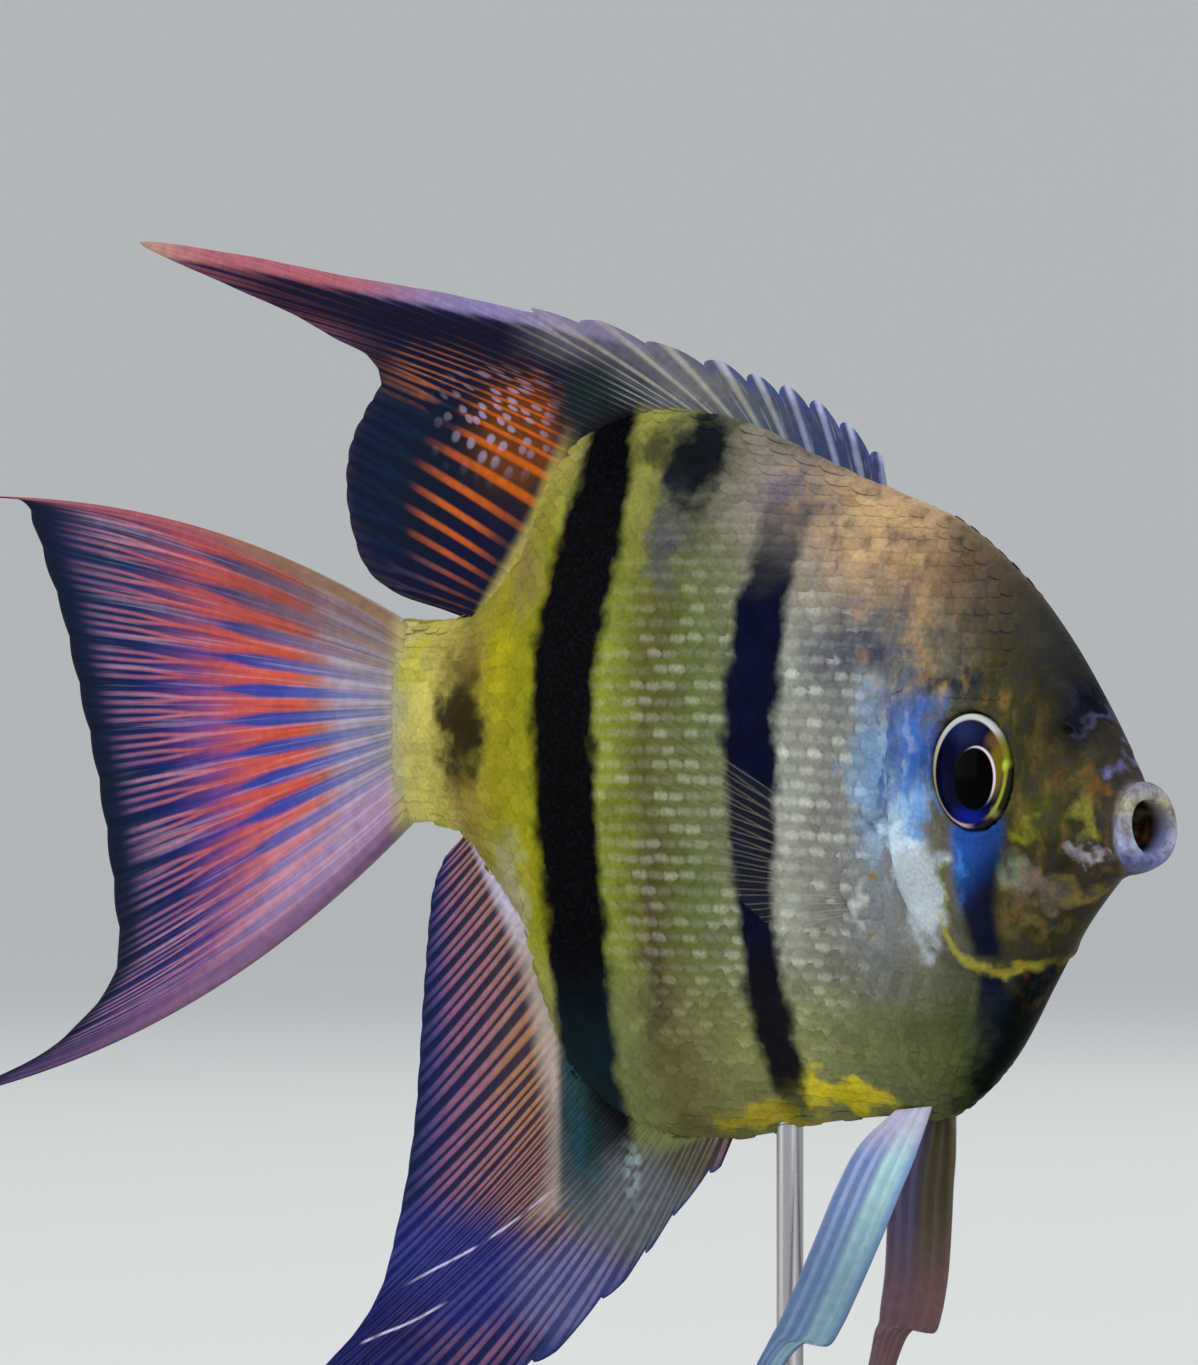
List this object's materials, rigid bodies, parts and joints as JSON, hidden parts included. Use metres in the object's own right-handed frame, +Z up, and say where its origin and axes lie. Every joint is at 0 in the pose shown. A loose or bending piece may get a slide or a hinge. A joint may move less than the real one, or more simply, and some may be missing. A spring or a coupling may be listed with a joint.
{
  "type": "freshwater angelfish model",
  "caption": "Life-size still model of a silver angelfish with dark bars, swept fins and long feelers, held over a flat base by a thin steel rod.",
  "frame": {"origin": "centre of the underside of the stand's base, directly below the rod", "axes": "+X the way the fish's trunk heads, +Y to the fish's left, +Z up; the head turns a little towards -Y"},
  "size_m": [0.125, 0.052, 0.1179],
  "materials": {
    "flesh": "wet scaled skin, olive silver with near-black bars",
    "fin": "thin rayed fin, coral and blue-violet stripes",
    "eye": "glossy eye",
    "lacquer": "black satin lacquer",
    "steel": "satin"
  },
  "bodies": {
    "root": {"mouth": "flesh", "head": "flesh", "breast": "flesh", "trunk": "flesh", "tail_stalk": "flesh", "gill_cover_right": "flesh", "gill_cover_left": "flesh", "dorsal_fin_spines": "fin", "dorsal_fin": "fin", "dorsal_streamer": "fin", "anal_fin_spines": "fin", "anal_fin": "fin", "anal_streamer": "fin", "tail_fin": "fin", "tail_streamer_upper": "fin", "tail_streamer_lower": "fin", "pectoral_fin_right": "fin", "pectoral_fin_left": "fin", "pelvic_fin_right": "fin", "pelvic_fin_left": "fin", "eye_right": "eye", "eye_left": "eye", "stand_base": "lacquer", "stand_collar": "steel", "stand_rod": "steel"}
  },
  "joints": []
}
